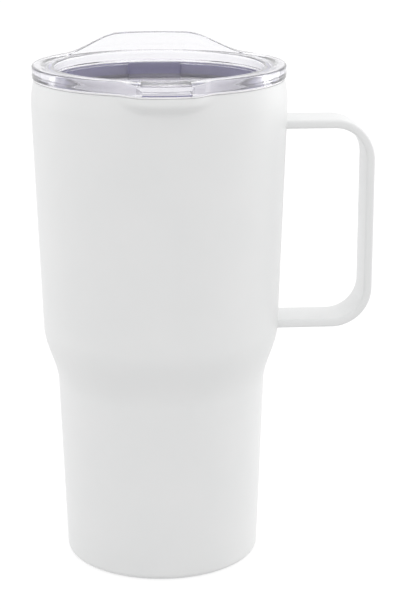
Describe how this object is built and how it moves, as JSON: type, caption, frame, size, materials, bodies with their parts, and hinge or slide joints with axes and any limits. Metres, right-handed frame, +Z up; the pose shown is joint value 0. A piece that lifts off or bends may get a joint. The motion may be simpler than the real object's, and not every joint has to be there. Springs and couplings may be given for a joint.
{
  "type": "insulated tumbler",
  "caption": "Double-wall steel tumbler with stepped cup-holder base, pour lip, side strap handle and clear lift-off lid with rear crest.",
  "frame": {"origin": "middle of the foot ring, on the surface that the mug stands on, on the mug's axis", "axes": "+Z up along the mug's axis, +X towards the handle, -Y towards the pour lip"},
  "size_m": [0.125, 0.0971, 0.1927],
  "materials": {
    "white_coat": "fine satin powder coat",
    "bare_steel": "satin, faint violet cast",
    "cap_steel": "spun satin",
    "copper": "thin copper foil",
    "seal_glass": "fused bead",
    "getter_metal": "sintered",
    "clear_plastic": "clear, with a hazy etched floor",
    "silicone": "smoky violet-grey silicone"
  },
  "bodies": {
    "mug": {"outer_shell": "white_coat", "inner_liner": "bare_steel", "liner_bottom": "bare_steel", "copper_foil": "copper", "vacuum_bottom": "bare_steel", "seal_bead": "seal_glass", "getter_clip": "bare_steel", "getter_pill": "getter_metal", "base_cap": "cap_steel", "handle_strap": "white_coat"},
    "lid": {"lid_body": "clear_plastic", "lid_gasket": "silicone"}
  },
  "joints": [
    {"name": "lid_lift", "type": "slide", "parent": "mug", "child": "lid", "axis": [0, 0, 1], "range_m": [0, 0.06]}
  ]
}
